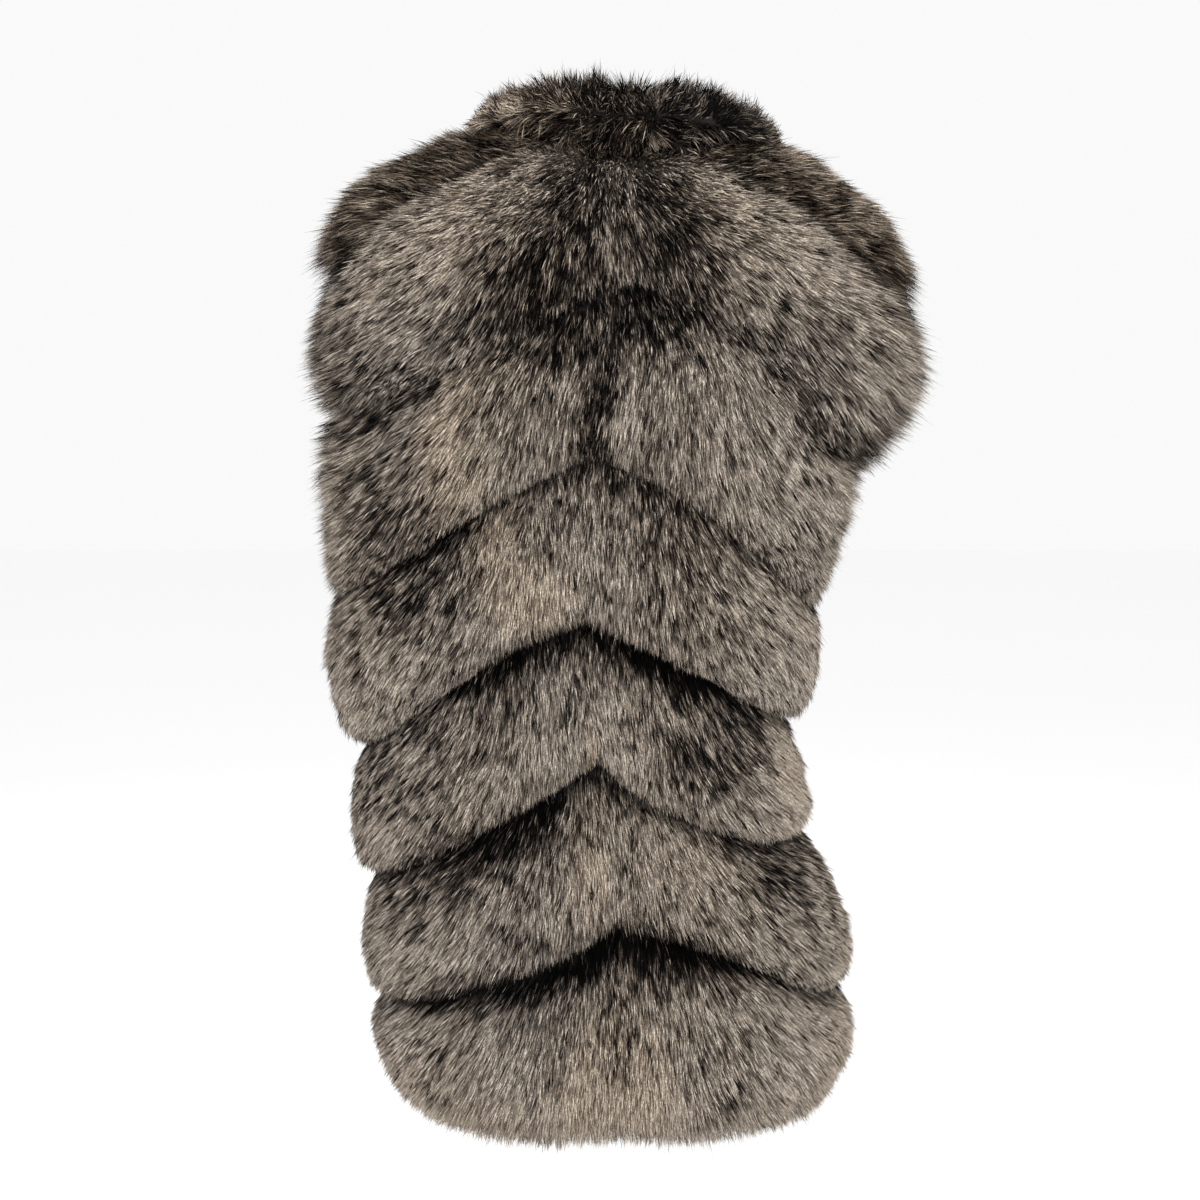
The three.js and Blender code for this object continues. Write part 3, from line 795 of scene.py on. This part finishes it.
def makeFurTree():
    tree = bpy.data.node_groups.new("foxFur", "GeometryNodeTree")
    sockets = [
        ("Geometry", "NodeSocketGeometry", None), ("Blades", "NodeSocketCollection", None),
        ("Density", "NodeSocketFloat", 20000.0), ("Length", "NodeSocketFloat", 0.028),
        ("Width", "NodeSocketFloat", 0.0014), ("Lift", "NodeSocketFloat", 0.42),
        ("Wave", "NodeSocketFloat", 0.9), ("Clump", "NodeSocketFloat", 0.8),
        ("Curl", "NodeSocketFloat", 0.22), ("Guard Share", "NodeSocketFloat", 0.4),
        ("Tufts", "NodeSocketFloat", 2.0), ("Clouds", "NodeSocketFloat", 0.9),
        ("Seed", "NodeSocketInt", 1), ("Coat", "NodeSocketMaterial", None),
    ]
    for name, kind, value in sockets:
        made = tree.interface.new_socket(name, in_out="INPUT", socket_type=kind)
        if value is not None:
            made.default_value = value
    tree.interface.new_socket("Geometry", in_out="OUTPUT", socket_type="NodeSocketGeometry")
    given = addNode(tree, "NodeGroupInput").outputs

    def maths(operation, a, b=0.0, c=0.0):
        return addNode(tree, "ShaderNodeMath", {0: a, 1: b, 2: c}, operation=operation).outputs[0]

    def vectors(operation, a, b=(0, 0, 0)):
        return addNode(tree, "ShaderNodeVectorMath", {0: a, 1: b}, operation=operation).outputs[0]

    def scaled(vector, by):
        return addNode(tree, "ShaderNodeVectorMath", {0: vector, "Scale": by}, operation="SCALE").outputs[0]

    def mapped(value, low, high, toLow=0.0, toHigh=1.0):
        made = addNode(tree, "ShaderNodeMapRange", {"Value": value, "From Min": low, "From Max": high,
                                                    "To Min": toLow, "To Max": toHigh})
        return made.outputs[0]

    def stored(name, kind="FLOAT"):
        made = addNode(tree, "GeometryNodeInputNamedAttribute", {"Name": name}, data_type=kind)
        return made.outputs["Attribute"]

    def chance(low, high, offset):
        seed = maths("ADD", given["Seed"], float(offset))
        made = addNode(tree, "FunctionNodeRandomValue", data_type="FLOAT")
        made.inputs[2].default_value, made.inputs[3].default_value = low, high
        tree.links.new(seed, made.inputs["Seed"])
        return made.outputs[1]

    def anyWay(most):
        made = addNode(tree, "FunctionNodeRandomValue", data_type="FLOAT_VECTOR")
        made.inputs[0].default_value, made.inputs[1].default_value = (-most,) * 3, (most,) * 3
        return made.outputs[0]

    def noiseOf(size, detail=1.0, place=None):
        place = place or addNode(tree, "GeometryNodeInputPosition").outputs[0]
        inputs = {"Vector": place, "Scale": 1 / size, "Detail": detail}
        return addNode(tree, "ShaderNodeTexNoise", inputs).outputs

    def wander(size):
        return vectors("SUBTRACT", noiseOf(size)["Color"], (0.5, 0.5, 0.5))

    def aboutZero(noise):
        return maths("SUBTRACT", noise["Fac"], 0.5)

    def keep(geometry, name, kind, value):
        made = addNode(tree, "GeometryNodeStoreNamedAttribute",
                       {"Geometry": geometry, "Name": name, "Value": value}, data_type=kind, domain="POINT")
        return made.outputs["Geometry"]

    flow, lift, place = (stored(name, "FLOAT_VECTOR") for name in ("flow", "lift", "place"))
    density = maths("MULTIPLY", given["Density"], stored("thick"))
    scattered = addNode(tree, "GeometryNodeDistributePointsOnFaces",
                        {"Mesh": given["Geometry"], "Density": density, "Seed": given["Seed"]})

    # where each strand points: the comb, the lift off the skin, broad waves, clumps and its own stray
    standing = scaled(lift, maths("MULTIPLY", given["Lift"], chance(0.55, 1.45, 3)))
    way = vectors("ADD", flow, standing)
    way = vectors("ADD", way, scaled(wander(strandLook["waveSize"]), given["Wave"]))
    way = vectors("ADD", way, scaled(wander(strandLook["clumpSize"]), given["Clump"]))
    way = vectors("NORMALIZE", vectors("ADD", way, scaled(anyWay(1.0), stored("messy"))))
    turned = addNode(tree, "FunctionNodeAlignRotationToVector", {"Vector": way}, axis="Z").outputs[0]
    turned = addNode(tree, "FunctionNodeAlignRotationToVector",
                     {"Rotation": turned, "Vector": vectors("ADD", lift, anyWay(0.75))},
                     axis="Y", pivot_axis="Z").outputs[0]

    # shade of each strand: the piece's own, small tufts drawn out along the comb, clouds, and chance
    guardShare = maths("MULTIPLY", given["Guard Share"], stored("thin"))
    guard = addNode(tree, "FunctionNodeCompare", {0: chance(0.0, 1.0, 17), 1: guardShare},
                    data_type="FLOAT", operation="LESS_THAN").outputs[0]
    combed = addNode(tree, "ShaderNodeVectorMath", {0: place, 1: flow}, operation="DOT_PRODUCT")
    combed = maths("MULTIPLY", combed.outputs["Value"], strandLook["tuftDraw"])
    drawn = vectors("SUBTRACT", place, scaled(flow, combed))
    tuft = aboutZero(noiseOf(strandLook["tuftSize"], 1.0, drawn))
    cloud = aboutZero(noiseOf(strandLook["cloudSize"], 2.0))
    shade = maths("ADD", stored("shade"), maths("MULTIPLY", tuft, given["Tufts"]))
    shade = maths("ADD", shade, maths("MULTIPLY", cloud, given["Clouds"]))
    shade = maths("ADD", shade, chance(-0.13, 0.13, 11))
    shade = maths("ADD", shade, maths("MULTIPLY", guard, strandLook["guardShade"]))
    fleck = maths("GREATER_THAN", chance(0.0, 1.0, 23), strandLook["fleckAbove"])
    shade = maths("ADD", shade, maths("MULTIPLY", fleck, strandLook["fleckShade"]))
    wisp = maths("GREATER_THAN", chance(0.0, 1.0, 29), strandLook["wispAbove"])
    shade = maths("ADD", shade, maths("MULTIPLY", wisp, strandLook["wispShade"]))

    # dark hairs are the longest, so their tips lie on top
    longer = mapped(shade, 0.3, 0.7, strandLook["darkLonger"], strandLook["paleShorter"])
    long = maths("MULTIPLY", maths("MULTIPLY", given["Length"], stored("long")), chance(0.65, 1.15, 5))
    long = maths("MULTIPLY", long, longer)
    long = maths("MULTIPLY", long, maths("ADD", 1.0, maths("MULTIPLY", wisp, strandLook["wispLonger"])))
    broad = maths("MULTIPLY", maths("MULTIPLY", given["Width"], chance(0.7, 1.25, 7)), stored("thin"))
    thinner = maths("SUBTRACT", 1.0, maths("MULTIPLY", wisp, strandLook["wispThinner"]))
    broad = maths("MULTIPLY", broad, thinner)
    size = addNode(tree, "ShaderNodeCombineXYZ", {"X": broad, "Y": 1.0, "Z": long}).outputs[0]
    sag = vectors("SUBTRACT", scaled(flow, strandLook["droopAlong"]), lift)
    droop = scaled(sag, maths("MULTIPLY", long, given["Curl"]))
    points = keep(scattered.outputs["Points"], "strandShade", "FLOAT", shade)
    points = keep(points, "tip", "FLOAT", chance(0.0, 1.0, 13))
    points = keep(points, "droop", "FLOAT_VECTOR", droop)

    blade = addNode(tree, "GeometryNodeCollectionInfo",
                    {"Collection": given["Blades"], "Separate Children": True}).outputs[0]
    strands = addNode(tree, "GeometryNodeInstanceOnPoints",
                      {"Points": points, "Instance": blade, "Pick Instance": True, "Instance Index": guard,
                       "Rotation": turned, "Scale": size}).outputs[0]
    strands = addNode(tree, "GeometryNodeRealizeInstances", {"Geometry": strands}).outputs[0]
    along = stored("along")
    bent = scaled(stored("droop", "FLOAT_VECTOR"), maths("MULTIPLY", along, along))
    strands = addNode(tree, "GeometryNodeSetPosition", {"Geometry": strands, "Offset": bent}).outputs[0]

    # colour along each strand: dark root, pale or dark middle, and a black tip on many
    hue = addNode(tree, "ShaderNodeMix", {"Factor": stored("warmth")}, data_type="RGBA")
    for stops, socket in ((coolStops, "A"), (tanStops, "B")):
        ramp = addNode(tree, "ShaderNodeValToRGB", {"Fac": stored("strandShade")})
        setRamp(ramp, stops)
        tree.links.new(ramp.outputs["Color"], hue.inputs[socket])
    hue = next(output for output in hue.outputs if output.type == "RGBA")
    root = mapped(along, 0.0, 0.45, 0.35, 1.0)
    tipped = mapped(stored("tip"), 0.65, 0.85, 0.0, 0.8)
    tipShade = maths("SUBTRACT", 1.0, maths("MULTIPLY", tipped, mapped(along, 0.5, 1.0)))
    colour = scaled(hue, maths("MULTIPLY", root, tipShade))
    strands = keep(strands, "coatColour", "FLOAT_COLOR", colour)
    for name in ("flow", "lift", "place", "droop", "tip", "strandShade", "along", "long", "thick", "thin",
                 "messy", "shade", "warmth"):
        removed = addNode(tree, "GeometryNodeRemoveAttribute", {"Geometry": strands, "Name": name})
        strands = removed.outputs[0]
    painted = addNode(tree, "GeometryNodeSetMaterial", {"Geometry": strands, "Material": given["Coat"]})
    addNode(tree, "NodeGroupOutput", {0: painted.outputs[0]})
    return tree


blades, furTree = makeBlades(), makeFurTree()
inputIds = {item.name: item.identifier for item in furTree.interface.items_tree if item.in_out == "INPUT"}


def addAttribute(mesh, name, values):
    values = np.asarray(values, np.float32)
    kind = "FLOAT_VECTOR" if values.shape[-1] == 3 and values.ndim > 1 else "FLOAT"
    made = mesh.attributes.new(name, kind, "POINT")
    made.data.foreach_set("vector" if kind == "FLOAT_VECTOR" else "value", values.ravel())


# Grows the strands on a mesh that holds the attributes the tree reads, and returns them as a plain mesh.
def growFur(name, coatOf, mesh, area, seed):
    source = bpy.data.objects.new("furSource", mesh)
    scene.collection.objects.link(source)
    modifier = source.modifiers.new("foxFur", "NODES")
    modifier.node_group = furTree
    values = dict(Blades=blades, Density=coatOf["strands"] / area, Length=coatOf["length"] / 1000,
                  Width=coatOf["width"] / 1000, Lift=coatOf["lift"], Wave=coatOf["wave"],
                  Clump=coatOf["clump"], Tufts=coatOf["tufts"], Seed=seed, Coat=hairMaterial)
    for key, value in values.items():
        modifier[inputIds[key]] = value
    graph = bpy.context.evaluated_depsgraph_get()
    grown = bpy.data.meshes.new_from_object(source.evaluated_get(graph), depsgraph=graph)
    grown.name = f"{name}_hair"
    bpy.data.objects.remove(source)
    return grown


# Which border points of a piece are on an open edge, and which way leads off the piece there.
def openEdges(piece, pulls, skin):
    free, off = np.zeros(skin.shape[:2]), np.zeros(skin.shape)
    atEnd = np.maximum(pulls["arm"], pulls["front"] * (piece["kind"] == "collar"))
    borders = [
        ((slice(None), -1), atEnd, skin[:, -1] - skin[:, -2]),
        ((slice(None), 0), pulls["front"] * piece["front"], skin[:, 0] - skin[:, 1]),
        ((-1, slice(None)), pulls["hem"], skin[-1] - skin[-2]),
        ((0, slice(None)), pulls["collar"] * (piece["kind"] == "collar"), skin[0] - skin[1]),
    ]
    for where, pull, way in borders:
        isOpen = pull[where] > 0.97
        free[where] = np.maximum(free[where], isOpen)
        off[where] = np.where(isOpen[:, None], unit(way), off[where])
    return free, off


# The layers of every piece, in millimetres, and how the fur deepens, thins and lengthens over it.
layers = dict(
    peltRows=11, peltColumns=19, peltThick=1.8, underfurFrom=1.9, underfurLeast=5,
    swellSize=9, swellHeight=2.2, partingWidth=2.2, partingDepth=0.3, tipRounding=0.24,
    backSeamShare=0.2, sideSeamShare=0.65, rimAt=0.75, rimStrands=0.8, rimLength=0.8,
)


def makePiece(piece, seed):
    name, kind, coatOf = piece["name"], piece["kind"], coats[kindOf(piece)]
    flip = (piece["side"] < 0) != piece["front"]

    # the pelt: a thin skin that shows only from inside
    s, r = gridOf(layers["peltRows"], layers["peltColumns"])
    v, t = piece["places"](s, r)
    skin, way = skinPoint(v, t), furDirection(v, t)
    shell = layeredMesh("pelt", skin, skin + layers["peltThick"] * way, flip)
    pelt = addPiece(f"{name}_pelt", shell, name)
    shell.materials.append(peltMaterial)
    steps = (np.linalg.norm(np.diff(skin, axis=axis), axis=-1).sum(axis) for axis in (0, 1))
    width, length = (step.max() / 1000 for step in steps)

    # the underfur: a soft dense body, up to where single strands show
    s, r = gridOf(coatOf["rows"], coatOf["columns"])
    v, t = piece["places"](s, r)
    skin, way = skinPoint(v, t), furDirection(v, t)
    pulls = edgePulls(v, t)
    edge = np.maximum.reduce(list(pulls.values()))
    full = piece["fullness"](s, r)
    seamShare = mix(coatOf["seamShare"], layers["backSeamShare"], smooth(v, 2.2, 4.5))
    seamShare = mix(seamShare, layers["sideSeamShare"], smooth(np.abs(t), 70, 88))
    seamShare = mix(seamShare, 1, 0.9 * pulls["arm"])
    reach = pulls["arm"] * smooth(v, 3, 4.2) * (1 - smooth(v, 6.2, 7.2))
    depth = depthOfFur(v, t, full, coatOf["crown"], seamShare)
    depth = depth * (1 - 0.2 * edge + 0.16 * reach + 0.12 * pulls["hem"])
    depth = depth + layers["swellHeight"] * field(skin, layers["swellSize"]) * full
    if kind == "yoke":
        depth = depth * (1 - layers["tipRounding"] * smooth(r, 0.72, 1))  # the shoulder's tip
    if "back_strip_2" in name:
        parting = np.exp(-((t / layers["partingWidth"]) ** 2)) * smooth(s, 0.3, 0.75)
        depth = depth * (1 - layers["partingDepth"] * parting)
    outer = skin + way * np.maximum(depth, layers["underfurLeast"])[..., None]
    body = layeredMesh("underfur", skin + layers["underfurFrom"] * way, outer, flip, keepInner=False)
    # shade is the coat's tone together with the painted valley shade from shadeOf; the underfur and the
    # strands are coloured from it
    shade, warmth = shadeOf(piece, s, r, skin)
    addAttribute(body, "shade", np.concatenate([shade.ravel()] * 2))
    underfur = addPiece(f"{name}_underfur", body, name)
    body.materials.append(underfurMaterial)

    # where the fur tucks under the next strip, starts from under the last one, is ruffled or tousled
    under = (kind == "strip") * smooth(s, 0.78, 1) * (1 - pulls["hem"]) * (1 - pulls["arm"])
    root = (kind == "strip") * ("strip_1" not in name) * (1 - smooth(s, 0, 0.16))
    ruffled = (kind == "collar") * (1 - 0.8 * smooth(v, 1.2, 1.9))
    tousled = (kind == "collar") * np.exp(-((t / 32) ** 2)) * smooth(v, 0.15, 0.6)
    neckSide = smooth(v, 0.8, 1.6) * smooth(np.abs(t), 50, 75) * (1 - smooth(np.abs(t), 110, 140))
    stands = None
    if "strip_1" in name:
        ruffled = (1 - smooth(s, 0.35, 0.85)) * (1 - smooth(r, 0.25, 0.7))
        stands = 1.2 * (1 - smooth(s, 0, 0.3)) * (1 - smooth(r, 0.3, 0.6))
    if kind == "yoke":
        stands = 1.1 * (1 - smooth(r, 0.05, 0.4)) * smooth(s, 0.15, 0.4)

    # strands start on the underfur's outside; they climb where it climbs and never follow it into a valley
    flow = flowOf(piece, v, t)
    down = tangents(v, t, 0.15)[0]
    spacing = np.linalg.norm(np.gradient(skin, axis=0), axis=-1)
    climb = np.gradient(depth, axis=0) / np.maximum(spacing, 1) * (flow * down).sum(-1)
    climb = np.clip(climb, -0.15 - 0.6 * under, 1.2 - 0.9 * root)
    if stands is not None:
        flow = unit(flow + (way - 0.5 * down) * stands[..., None])
    flow = unit(flow + way * climb[..., None] * (1 - edge)[..., None])
    turn = np.maximum.reduce([0.7 * pulls["arm"], 0.5 * edge * (pulls["hem"] < 0.01), 0.3 * pulls["hem"]])
    flow = unit(mix(flow, way, 0.7 * turn[..., None]))
    lift = way * (1 - 0.55 * root + 1.3 * ruffled)[..., None]
    long = (1 + 0.1 * field(skin, 26, 8) + 0.2 * edge + 0.25 * reach - 0.1 * pulls["hem"] - 0.4 * under
            - 0.25 * root + 0.45 * neckSide * (kind == "collar") - 0.36 * tousled)
    shade = shade + 0.07 * np.maximum(pulls["arm"], pulls["hem"])
    flat = lambda a: a.reshape(-1, *a.shape[2:])
    values = dict(point=outer, flow=flow, lift=lift, long=long, thick=1 + 0.9 * edge, thin=1 - 0.5 * edge,
                  messy=0.2 + 0.3 * ruffled + 0.35 * tousled, shade=shade, warmth=warmth)
    values = {key: flat(value) for key, value in values.items()}

    # the open edges are furred too, over the outer part of their thickness
    rim = rimOf(*s.shape)
    free, off = openEdges(piece, pulls, skin)
    free, off, rimWay, rimSkin = (flat(a)[rim] for a in (free, off, way, skin))
    onRim = dict(flow=unit(rimWay + 0.3 * off), lift=unit(0.6 * rimWay + off), thin=1 + 0 * free,
                 long=layers["rimLength"] + 0 * free, thick=layers["rimStrands"] * free)
    for share in (0, layers["rimAt"]):
        for key, value in values.items():
            added = onRim.get(key, value[rim])
            if key == "point":
                added = mix(added, rimSkin, share)
            values[key] = np.concatenate([value, added])
    first, last, size = s.size, s.size + len(rim), np.arange(len(rim))
    wall = np.stack([first + size, first + np.roll(size, -1), last + np.roll(size, -1), last + size], -1)
    faces = np.concatenate([gridFaces(*s.shape), wall])
    points = values.pop("point") / 1000
    ground = bpy.data.meshes.new("furGround")
    ground.from_pydata(points.tolist(), [], faces.tolist())
    values["place"] = points - points.mean(0)
    for key, value in values.items():
        addAttribute(ground, key, value)
    corners, thick = points[faces], values["thick"][faces].mean(-1)
    across = np.cross(corners[:, 2] - corners[:, 0], corners[:, 3] - corners[:, 1])
    furredArea = float((np.linalg.norm(across, axis=-1) / 2 * thick).sum())
    hair = addPiece(f"{name}_hair", growFur(name, coatOf, ground, furredArea, seed), name)
    return len(hair.data.polygons)


count = 0
for number, piece in enumerate(pieces):
    count += makePiece(piece, number + 1)
for used in list(blades.objects):
    bpy.data.objects.remove(used)
bpy.data.collections.remove(blades)
print("pieces made,", count, "hair faces")
